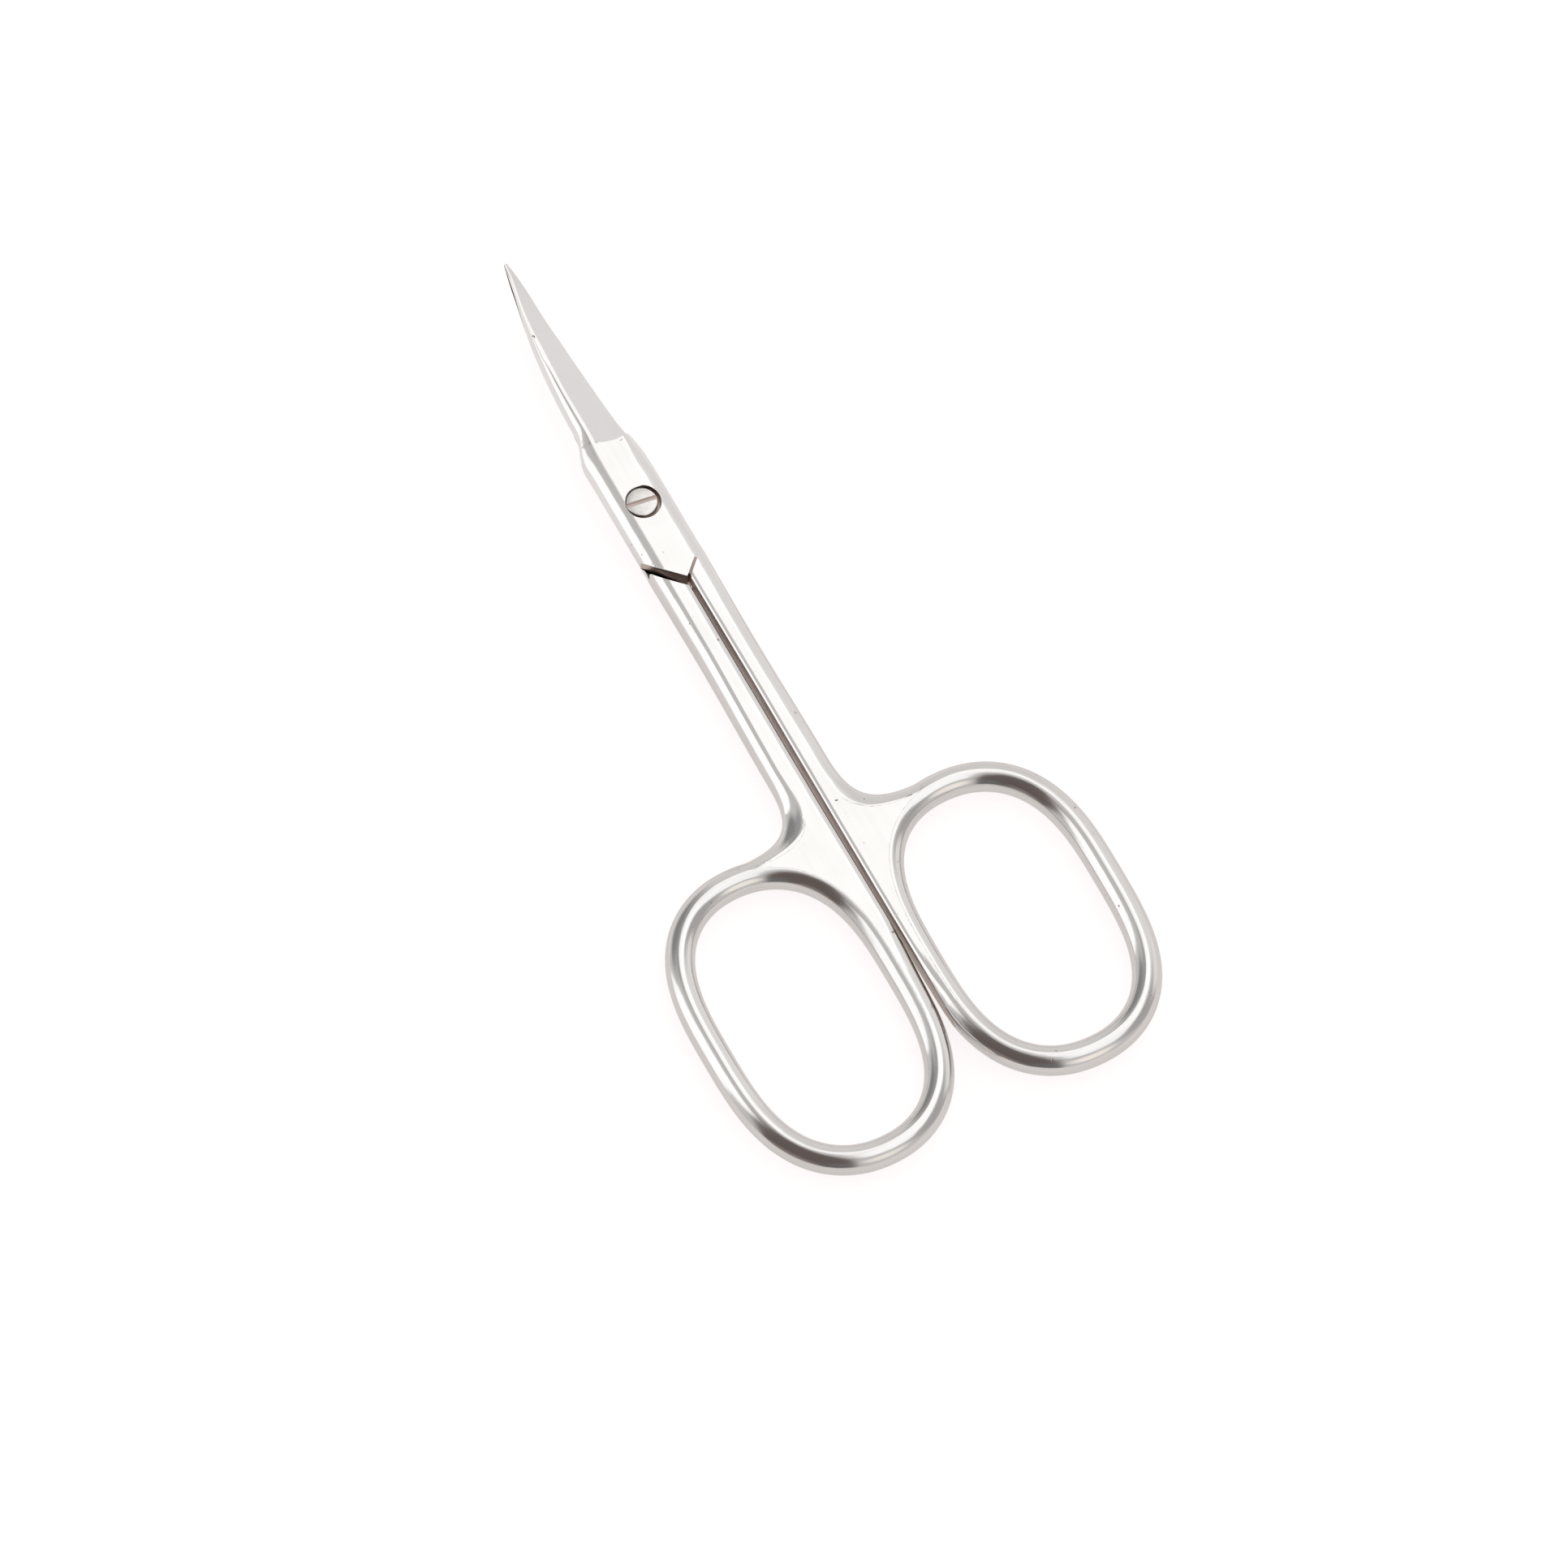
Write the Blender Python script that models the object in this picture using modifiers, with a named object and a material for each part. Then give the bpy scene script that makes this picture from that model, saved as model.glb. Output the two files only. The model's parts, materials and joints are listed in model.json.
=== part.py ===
# Eyebrow scissors, lying closed on their flat underside.
# Two forged halves cross at a half-lap joint and turn on one slotted screw.
# +Y points to the tips, +Z up, and the origin is on the ground under the middle of the scissors.
import math

import bmesh
import bpy
from mathutils import Matrix, Vector

MM = 0.001

# Blades, measured from the pivot
BLADE_REACH = 25.4 * MM  # pivot to tip
BLADE_ROOT_Y = 8.8 * MM  # where the pad's shoulders end and the taper begins
BLADE_ROOT_HALF_WIDTH = 1.85 * MM
BLADE_TIP_HALF_WIDTH = 0.12 * MM
BLADE_TAPER_POWER = 1.75  # how full the taper is: 1 would be straight
EDGE_LAND = 0.12 * MM  # height of the blunt land along the cutting edge
GRIND_SLOPE = 0.546  # rise of the ground face from the edge to the ridge, per unit of width
GRIND_START_Y = 6.9 * MM  # where the ground face stops against the pad
BLADE_ROOT_DEPTH = 1.2 * MM  # how far the blade's loft runs back inside the pad
RIDGE_SHARE = 0.54  # ridge's distance from the blade's middle line, as a share of its half width
BLADE_RELIEF = 0.08  # inner face's lean away from the other blade, per unit of width
TIP_RISE = 2.0 * MM  # the blades curve up to this above the middle plane
TIP_RISE_START_Y = 14.0 * MM

# Joint
PAD_HALF_WIDTH = 2.75 * MM
PAD_LAYER = 1.8 * MM  # thickness of each half at the lap
PAD_FRONT_Y = 5.2 * MM  # where the pad begins to narrow
PAD_BACK_Y = 5.25 * MM  # how far behind the pivot its straight side ends
LAP_CLEARANCE = 0.06 * MM  # between the two halves' faces
NOTCH_CLEARANCE = 0.45 * MM  # between a pad's slanted end and the other half's shoulder

# Shanks and web
SHANK_GAP = 0.4 * MM  # between the shanks when closed
SHANK_FRONT_HALF_HEIGHT = 1.6 * MM  # a little below the pad, behind the slanted step
SHANK_BACK_HALF_HEIGHT = 1.35 * MM  # where the web begins
WEB_FRONT_Y = 28.5 * MM  # behind the pivot
WEB_CORNER_BACK = 5.1 * MM  # depth of the curved corner between shank and ring
WEB_INNER_END = 5.1 * MM  # how far before it leaves the ring the web's inner line turns to it
WEB_LEAVES_RING = 176  # degrees round the ring from +X
WEB_JOINS_RING = 106
WEB_CORNER_TOP = 96  # where the corner's curve meets the ring's front
WEB_CORNER_RISE = 1.07 * MM  # that meeting point's distance outside the ring's middle line
OUTER_ROUNDING = 1.25 * MM
INNER_ROUNDING = 0.3 * MM

# Finger rings, sizes at the wire's middle line
RING_HALF_WIDTH = 8.62 * MM
RING_HALF_LENGTH = 14.12 * MM
RING_SIDE_POWER = 3.03  # how straight the long sides are: 2 would be an ellipse
RING_END_POWER = 2.1
RING_WIRE_WIDTH = 2.55 * MM
RING_WIRE_HEIGHT = 2.8 * MM
RING_FLAT = 0.15 * MM  # ground off the wire where the rings face each other
RING_CENTRE_BACK = 48.98 * MM  # behind the pivot

# Pivot screw
HEAD_RADIUS = 1.36 * MM
HEAD_THICKNESS = 0.75 * MM
HEAD_RECESS = 0.15 * MM  # its top below the pad's face
HEAD_CHAMFER = 0.12 * MM
COUNTERBORE_CLEARANCE = 0.14 * MM
SEAT_CLEARANCE = 0.03 * MM  # under the head
SHAFT_RADIUS = 0.8 * MM
RUNNING_CLEARANCE = 0.05 * MM  # around the shaft in the upper half
THREAD_CLEARANCE = 0.03 * MM  # around the shaft in the lower half
SCREW_END_RECESS = 0.1 * MM
SLOT_WIDTH = 0.38 * MM
SLOT_DEPTH = 0.4 * MM

# Colours
NICKEL = (0.83, 0.82, 0.80)
STEEL = (0.76, 0.75, 0.73)

# Places that follow from the sizes
RING_CENTRE_X = SHANK_GAP / 2 - RING_FLAT + RING_WIRE_WIDTH / 2 + RING_HALF_WIDTH
HANDLE_REACH = RING_CENTRE_BACK + RING_HALF_LENGTH + RING_WIRE_WIDTH / 2
PIVOT_Y = (HANDLE_REACH - BLADE_REACH) / 2
OVERCUT = 4.0 * MM  # how far cutters run past what they cut
ROUND_STEPS = 48  # sides of the screw and of its bores


def clear_scene():
    for old in list(bpy.data.objects):
        bpy.data.objects.remove(old, do_unlink=True)


def new_collection(name):
    collection = bpy.data.collections.new(name)
    bpy.context.scene.collection.children.link(collection)
    return collection


def metal(name, colour, roughness):
    material = bpy.data.materials.new(name)
    material.use_nodes = True
    shader = material.node_tree.nodes["Principled BSDF"]
    shader.inputs["Base Color"].default_value = (*colour, 1.0)
    shader.inputs["Metallic"].default_value = 1.0
    shader.inputs["Roughness"].default_value = roughness
    return material


def mesh_object(name, mesh, collection):
    made = bpy.data.objects.new(name, mesh)
    collection.objects.link(made)
    return made


def helper(made):
    """A shape that cuts or joins another and isn't a piece itself."""
    made.hide_render = True
    made.display_type = "WIRE"
    return made


def curve_to_mesh(curve_object, name, collection):
    """The curve's evaluated mesh as a new object, with its caps welded and its flat faces whole."""
    bpy.context.view_layer.update()
    graph = bpy.context.evaluated_depsgraph_get()
    mesh = bpy.data.meshes.new_from_object(curve_object.evaluated_get(graph))
    made = mesh_object(name, mesh, collection)
    made.matrix_world = curve_object.matrix_world
    bpy.data.objects.remove(curve_object, do_unlink=True)
    work = bmesh.new()
    work.from_mesh(mesh)
    bmesh.ops.remove_doubles(work, verts=work.verts, dist=0.0005 * MM)
    bmesh.ops.dissolve_limit(work, angle_limit=0.001, verts=work.verts, edges=work.edges)
    bmesh.ops.recalc_face_normals(work, faces=work.faces)
    work.to_mesh(mesh)
    work.free()
    return made


def poly_curve(name, points, dimensions, collection):
    """A closed curve object through the points, each (x, y) or (x, y, z)."""
    curve = bpy.data.curves.new(name, "CURVE")
    curve.dimensions = dimensions
    spline = curve.splines.new("POLY")
    spline.points.add(len(points) - 1)
    for place, point in zip(spline.points, points):
        place.co = (*point, *([0.0] * (3 - len(point))), 1.0)
    spline.use_cyclic_u = True
    return mesh_object(name, curve, collection)


def plate(name, outline, half_height, collection):
    """A flat outline as a solid, from -half_height to half_height."""
    made = poly_curve(name + "_outline", outline, "2D", collection)
    made.data.fill_mode = "BOTH"
    made.data.extrude = half_height
    return curve_to_mesh(made, name, collection)


def bezier(start, pull_start, pull_end, end, steps):
    """Points along a cubic curve, both ends included."""
    points = []
    for step in range(steps + 1):
        t = step / steps
        weights = ((1 - t) ** 3, 3 * t * (1 - t) ** 2, 3 * t * t * (1 - t), t**3)
        corners = (start, pull_start, pull_end, end)
        points.append(tuple(sum(w * p[axis] for w, p in zip(weights, corners)) for axis in (0, 1)))
    return points


def ring_point(angle):
    """A point on the ring's middle line, an oval with straightened sides, at this angle from +X."""
    cosine, sine = math.cos(angle), math.sin(angle)
    x = RING_HALF_WIDTH * math.copysign(abs(cosine) ** (2 / RING_END_POWER), cosine)
    y = RING_HALF_LENGTH * math.copysign(abs(sine) ** (2 / RING_SIDE_POWER), sine)
    return (RING_CENTRE_X + x, y - RING_CENTRE_BACK)


def half_width(y):
    """Half the width of pad and blade at this distance in front of the pivot."""
    if y <= PAD_FRONT_Y:
        return PAD_HALF_WIDTH
    if y < BLADE_ROOT_Y:
        share = (y - PAD_FRONT_Y) / (BLADE_ROOT_Y - PAD_FRONT_Y)
        eased = share * share * (3 - 2 * share)
        return PAD_HALF_WIDTH + (BLADE_ROOT_HALF_WIDTH - PAD_HALF_WIDTH) * eased
    share = (y - BLADE_ROOT_Y) / (BLADE_REACH - BLADE_ROOT_Y)
    taper = BLADE_ROOT_HALF_WIDTH - BLADE_TIP_HALF_WIDTH
    return BLADE_TIP_HALF_WIDTH + taper * (1 - share**BLADE_TAPER_POWER)


def tip_rise(y):
    if y <= TIP_RISE_START_Y:
        return 0.0
    share = (y - TIP_RISE_START_Y) / (BLADE_REACH - TIP_RISE_START_Y)
    return TIP_RISE * share * share


def notch_line(x, offset):
    """The slanted line of the pad's end, at 45 degrees, mirrored in the middle line."""
    return abs(x) - PAD_HALF_WIDTH - PAD_BACK_Y - offset * math.sqrt(2)


def blank_outline():
    """Pad, shank and web of the upper half seen from above, with the shank at +X.

    Each entry is a point and the rounding of the edge that runs from it to the next.
    """
    inner_x = SHANK_GAP / 2
    shoulder_ys = [PAD_FRONT_Y + (GRIND_START_Y - PAD_FRONT_Y) * step / 4 for step in range(5)]
    shoulder = [((half_width(y), y), OUTER_ROUNDING) for y in shoulder_ys]
    shoulder[-1] = (shoulder[-1][0], 0.0)
    far_shoulder = [((-half_width(y), y), OUTER_ROUNDING) for y in reversed(shoulder_ys)]
    notch = [
        ((-PAD_HALF_WIDTH, -PAD_BACK_Y), 0.0),
        ((0.0, notch_line(0.0, 0.0)), 0.0),
        ((inner_x, notch_line(0.0, 0.0)), INNER_ROUNDING),
    ]
    steps = 9
    turn = (WEB_JOINS_RING - WEB_LEAVES_RING) / steps
    in_ring = [(ring_point(math.radians(WEB_LEAVES_RING + turn * step)), 0.0) for step in range(steps + 1)]
    inner_end = ((inner_x, in_ring[0][0][1] + WEB_INNER_END), INNER_ROUNDING)
    top_x, top_y = ring_point(math.radians(WEB_CORNER_TOP))
    top = (top_x, top_y + WEB_CORNER_RISE)
    corner_y = -WEB_FRONT_Y - WEB_CORNER_BACK
    pulls = ((PAD_HALF_WIDTH * 1.5, corner_y), (PAD_HALF_WIDTH, corner_y + WEB_CORNER_BACK / 4))
    curve = bezier(top, *pulls, (PAD_HALF_WIDTH, -WEB_FRONT_Y), steps)
    corner = [(point, OUTER_ROUNDING) for point in curve]
    return shoulder + far_shoulder + notch + [inner_end] + in_ring + corner


def round_long_edges(blank, outline):
    """Rounds the outer edges fully and the inner edge a little. Ends and faces inside the ring stay sharp."""
    corners = [Vector((*point, 0.0)) for point, _ in outline]
    middles = [(a + b) / 2 for a, b in zip(corners, corners[1:] + corners[:1])]
    work = bmesh.new()
    work.from_mesh(blank.data)
    weight = work.edges.layers.float.new("bevel_weight_edge")
    for edge in work.edges:
        a, b = (vert.co for vert in edge.verts)
        if abs(a.z - b.z) > INNER_ROUNDING:
            continue
        middle = ((a + b) / 2).to_2d().to_3d()
        nearest = min(range(len(middles)), key=lambda i: (middles[i] - middle).length)
        edge[weight] = outline[nearest][1] / OUTER_ROUNDING
    work.to_mesh(blank.data)
    work.free()
    bevel = blank.modifiers.new("round_edges", "BEVEL")
    bevel.limit_method = "WEIGHT"
    bevel.width = OUTER_ROUNDING
    bevel.segments = 4
    bevel.use_clamp_overlap = False


def ring_wire(name, collection):
    """The finger ring: a wire bent round the oval, a little higher than wide."""
    turns = 60
    points = [(*ring_point(math.tau * (step + 0.5) / turns), 0.0) for step in range(turns)]
    made = poly_curve(name + "_line", points, "3D", collection)
    made.data.bevel_depth = RING_WIRE_WIDTH / 2
    made.data.bevel_resolution = 5
    made = curve_to_mesh(made, name, collection)
    made.data.transform(Matrix.Diagonal((1, 1, RING_WIRE_HEIGHT / RING_WIRE_WIDTH, 1)))
    return helper(made)


def ring_flat_cutter(name, collection):
    """Takes off the wire what lies past the shank's inner face, where the rings face each other."""
    mesh = bpy.data.meshes.new(name)
    work = bmesh.new()
    bmesh.ops.create_cube(work, size=1.0)
    length = HANDLE_REACH - WEB_FRONT_Y + OVERCUT
    bmesh.ops.scale(work, verts=work.verts, vec=(OVERCUT, length, OVERCUT))
    middle = (SHANK_GAP / 2 - OVERCUT / 2, -WEB_FRONT_Y - length / 2, 0.0)
    bmesh.ops.translate(work, verts=work.verts, vec=middle)
    work.to_mesh(mesh)
    work.free()
    return helper(mesh_object(name, mesh, collection))


def blade_section(y, rise_sign):
    """The blade's outline across at y: a rounded spine at -X, the ridge, and the ground face down to +X."""
    inside_pad = y < GRIND_START_Y
    width = half_width(max(y, GRIND_START_Y)) - (LAP_CLEARANCE if inside_pad else 0.0)
    base = LAP_CLEARANCE / 2
    ridge_x = -RIDGE_SHARE * width
    ridge_z = min(EDGE_LAND + GRIND_SLOPE * (width - ridge_x), PAD_LAYER - EDGE_LAND)
    points = [(width, base), (width, base + EDGE_LAND), (ridge_x, ridge_z)]
    for degrees in (65, 40, 18):
        angle = math.radians(degrees)
        points.append((-width + (width + ridge_x) * (1 - math.cos(angle)), ridge_z * math.sin(angle)))
    points.append((-width, base + BLADE_RELIEF * width * 2))
    lift = rise_sign * tip_rise(y)
    return [(x, y, z + lift) for x, z in points]


def blade(name, rise_sign, collection):
    """A loft through sections from inside the pad to the tip."""
    places = [GRIND_START_Y - BLADE_ROOT_DEPTH, GRIND_START_Y - LAP_CLEARANCE, BLADE_ROOT_Y]
    steps = 14
    places += [BLADE_ROOT_Y + (BLADE_REACH - BLADE_ROOT_Y) * step / steps for step in range(1, steps + 1)]
    work = bmesh.new()
    loops = [[work.verts.new(point) for point in blade_section(y, rise_sign)] for y in places]
    around = len(loops[0])
    for near, far in zip(loops, loops[1:]):
        for i in range(around):
            j = (i + 1) % around
            work.faces.new((near[i], near[j], far[j], far[i]))
    work.faces.new(loops[0])
    work.faces.new(loops[-1])
    bmesh.ops.triangulate(work, faces=work.faces)
    bmesh.ops.recalc_face_normals(work, faces=work.faces)
    mesh = bpy.data.meshes.new(name)
    work.to_mesh(mesh)
    work.free()
    return helper(mesh_object(name, mesh, collection))


def slanted_edge(offset, wide):
    """The slanted line as a cutter's edge: level to the middle line, then along it to the right."""
    level = notch_line(0.0, offset)
    return [(-wide, level), (0.0, level), (wide, notch_line(wide, offset))]


def shank_grind(name, side, collection):
    """Cutter that takes the shank's face below the pad's, sloping down from the slanted step to the web.

    side is 1 for the upper face and -1 for the lower.
    """
    reach = HANDLE_REACH + OVERCUT
    wide = RING_CENTRE_X * 3
    outline = slanted_edge(SHANK_GAP / 4, wide) + [(wide, -reach), (-wide, -reach)]
    made = helper(plate(name, outline, OVERCUT / 2, collection))
    fall = SHANK_FRONT_HALF_HEIGHT - SHANK_BACK_HALF_HEIGHT
    angle = math.atan(fall / (WEB_FRONT_Y - PAD_BACK_Y))
    hinge = Vector((0.0, -PAD_BACK_Y, side * SHANK_FRONT_HALF_HEIGHT))
    turn = Matrix.Rotation(side * angle, 4, "X")
    raise_plate = Matrix.Translation((0.0, PAD_BACK_Y, side * OVERCUT / 2))
    made.matrix_world = Matrix.Translation(hinge) @ turn @ raise_plate
    return made


def lap_cutter(name, collection):
    """Takes away the lower layer in front of the slanted shoulder, where the other half's pad lies."""
    front = BLADE_REACH + OVERCUT
    wide = PAD_HALF_WIDTH + OVERCUT
    outline = slanted_edge(NOTCH_CLEARANCE, wide) + [(wide, front), (-wide, front)]
    made = helper(plate(name, outline, OVERCUT / 2, collection))
    made.location.z = LAP_CLEARANCE / 2 - OVERCUT / 2
    return made


def round_cutter(name, radius, low, high, collection):
    mesh = bpy.data.meshes.new(name)
    work = bmesh.new()
    size = {"radius1": radius, "radius2": radius, "depth": high - low}
    bmesh.ops.create_cone(work, cap_ends=True, segments=ROUND_STEPS, **size)
    bmesh.ops.translate(work, verts=work.verts, vec=(0.0, 0.0, (low + high) / 2))
    work.to_mesh(mesh)
    work.free()
    return helper(mesh_object(name, mesh, collection))


def apply_boolean(target, other, operation):
    modifier = target.modifiers.new(other.name, "BOOLEAN")
    modifier.operation = operation
    modifier.object = other
    modifier.solver = "EXACT"


def scissor_half(name, rise_sign, bores, pose, pieces, cutters):
    """One half, built as the upper one and then put in its place by pose."""
    outline = blank_outline()
    half = plate(name, [point for point, _ in outline], PAD_LAYER, pieces)
    round_long_edges(half, outline)
    joined = [
        (shank_grind(name + "_top_grind", 1, cutters), "DIFFERENCE"),
        (shank_grind(name + "_under_grind", -1, cutters), "DIFFERENCE"),
        (lap_cutter(name + "_lap", cutters), "DIFFERENCE"),
        (ring_wire(name + "_ring", cutters), "UNION"),
        (ring_flat_cutter(name + "_ring_flat", cutters), "DIFFERENCE"),
        (blade(name + "_blade", rise_sign, cutters), "UNION"),
    ]
    for index, (radius, low, high) in enumerate(bores):
        cutter = round_cutter(f"{name}_bore_{index}", radius, low, high, cutters)
        joined.append((cutter, "DIFFERENCE"))
    for other, operation in joined:
        other.matrix_world = pose @ other.matrix_world
        apply_boolean(half, other, operation)
    half.matrix_world = pose
    half.data.materials.clear()
    half.data.materials.append(metal(name + "_nickel", NICKEL, 0.12))
    half.data.set_sharp_from_angle(angle=math.radians(35))
    return half


def pivot_screw(name, pose, pieces, cutters):
    """Slotted screw: a cheese head in the upper half's counterbore, its shaft down through both halves."""
    top = PAD_LAYER - HEAD_RECESS
    under_head = top - HEAD_THICKNESS
    end = SCREW_END_RECESS - PAD_LAYER
    profile = [
        (0.0, top),
        (HEAD_RADIUS - HEAD_CHAMFER, top),
        (HEAD_RADIUS, top - HEAD_CHAMFER),
        (HEAD_RADIUS, under_head),
        (SHAFT_RADIUS, under_head),
        (SHAFT_RADIUS, end + HEAD_CHAMFER),
        (SHAFT_RADIUS - HEAD_CHAMFER, end),
        (0.0, end),
    ]
    mesh = bpy.data.meshes.new(name)
    edges = [(i, i + 1) for i in range(len(profile) - 1)]
    mesh.from_pydata([(x, 0.0, z) for x, z in profile], edges, [])
    screw = mesh_object(name, mesh, pieces)
    turned = screw.modifiers.new("turned", "SCREW")
    turned.steps = ROUND_STEPS
    turned.render_steps = ROUND_STEPS
    turned.use_merge_vertices = True
    turned.merge_threshold = 0.0001 * MM
    slot_mesh = bpy.data.meshes.new(name + "_slot")
    work = bmesh.new()
    bmesh.ops.create_cube(work, size=1.0)
    size = (HEAD_RADIUS * 3, SLOT_WIDTH, SLOT_DEPTH * 2)
    bmesh.ops.scale(work, verts=work.verts, vec=size)
    bmesh.ops.translate(work, verts=work.verts, vec=(0.0, 0.0, top))
    work.to_mesh(slot_mesh)
    work.free()
    slot = helper(mesh_object(name + "_slot", slot_mesh, cutters))
    apply_boolean(screw, slot, "DIFFERENCE")
    slot.matrix_world = pose
    screw.matrix_world = pose
    mesh.materials.append(metal(name + "_steel", STEEL, 0.28))
    return screw


def build():
    clear_scene()
    pieces = new_collection("eyebrow_scissors")
    cutters = new_collection("cutters")
    upper_pose = Matrix.Translation((0.0, PIVOT_Y, PAD_LAYER))
    lower_pose = upper_pose @ Matrix.Rotation(math.pi, 4, "Y")
    counterbore_floor = PAD_LAYER - HEAD_RECESS - HEAD_THICKNESS - SEAT_CLEARANCE
    through = (-OVERCUT, OVERCUT)
    upper_bores = [
        (SHAFT_RADIUS + RUNNING_CLEARANCE, *through),
        (HEAD_RADIUS + COUNTERBORE_CLEARANCE, counterbore_floor, OVERCUT),
    ]
    lower_bores = [(SHAFT_RADIUS + THREAD_CLEARANCE, *through)]
    scissor_half("upper_half", 1, upper_bores, upper_pose, pieces, cutters)
    scissor_half("lower_half", -1, lower_bores, lower_pose, pieces, cutters)
    pivot_screw("pivot_screw", upper_pose, pieces, cutters)


build()
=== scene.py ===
# Eyebrow scissors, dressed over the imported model.
# Lengths in the dictionaries are millimetres, counted from the pivot: x across, y towards the tips,
# h up from the plane where the two halves meet. A pair of places gives where a change starts and ends.
import json
import math
import bmesh
import bpy
import numpy as np
from mathutils import Matrix


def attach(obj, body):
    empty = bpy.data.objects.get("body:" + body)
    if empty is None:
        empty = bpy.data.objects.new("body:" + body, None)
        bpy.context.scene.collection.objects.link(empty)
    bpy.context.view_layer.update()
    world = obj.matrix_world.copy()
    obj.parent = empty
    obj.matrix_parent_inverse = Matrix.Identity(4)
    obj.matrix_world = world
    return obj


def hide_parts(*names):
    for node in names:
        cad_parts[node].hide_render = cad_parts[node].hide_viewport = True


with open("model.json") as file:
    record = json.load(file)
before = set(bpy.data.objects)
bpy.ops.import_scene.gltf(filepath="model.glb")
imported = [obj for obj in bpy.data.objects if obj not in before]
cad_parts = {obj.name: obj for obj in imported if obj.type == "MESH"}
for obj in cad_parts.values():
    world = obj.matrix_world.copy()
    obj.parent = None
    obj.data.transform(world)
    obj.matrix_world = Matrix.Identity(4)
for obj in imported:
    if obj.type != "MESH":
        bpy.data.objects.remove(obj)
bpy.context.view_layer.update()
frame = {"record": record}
print("frame loaded")

mm = 0.001
pivotY, splitHeight = frame["record"]["behaviour"]["joints"][0]["pos_m"][1:]  # in metres

joint = {
    "layer": 1.8,  # thickness of each half at the screw
    "padHalfWidth": 2.75,  # on the spine side
    "padEdgeWidth": 2.53,  # on the edge side
    "padFrontY": 5.2,  # where the pad starts to narrow at its spine side
    "padEdgeFrontY": 4.0,  # and at its edge side
    "padBackY": -5.25,  # where the pad's straight side ends and its slanted end begins
    "lapGap": 0.03,  # half the clearance between the halves
    "notchGapLow": 0.40,  # slanted end to the other half's shoulder, at the split
    "notchGapHigh": 0.72,  # and at the top
    "notchSlopeH": 1.1,  # height at which the notch starts to widen
    "notchSlopeHeight": 0.5,  # and over how much height it does
    "notchEnd": 1.5,  # x up to which the slanted end takes the darker inner-face material, painted shade
    "creaseWidth": 0.34,  # length of the small slope from the shank up to the pad
    "turnLength": 7.0,  # length over which the rows turn from straight across to slanted, and back
    "turnLead": 1.0,  # they are slanted this far behind the pad's end
    "slantEase": 0.05,  # how far the slanted rows' bend at the middle is eased
    "padRound": 1.45,  # width of the rounding along the pad's sides
    "padEdgeRound": 1.65,  # the same on the edge side
    "padDrop": 1.0,  # the height of both
    "shankDrop": 0.82,  # height of the shank's rounding where it meets the pad
    "endRound": 0.55,  # how far the slanted end's outer corner is rounded back
    "endRoundWidth": 1.0,
    "boreRadius": 1.53,
    "boreFloor": 0.72,
    "boreEdge": 0.05,
}
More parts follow.
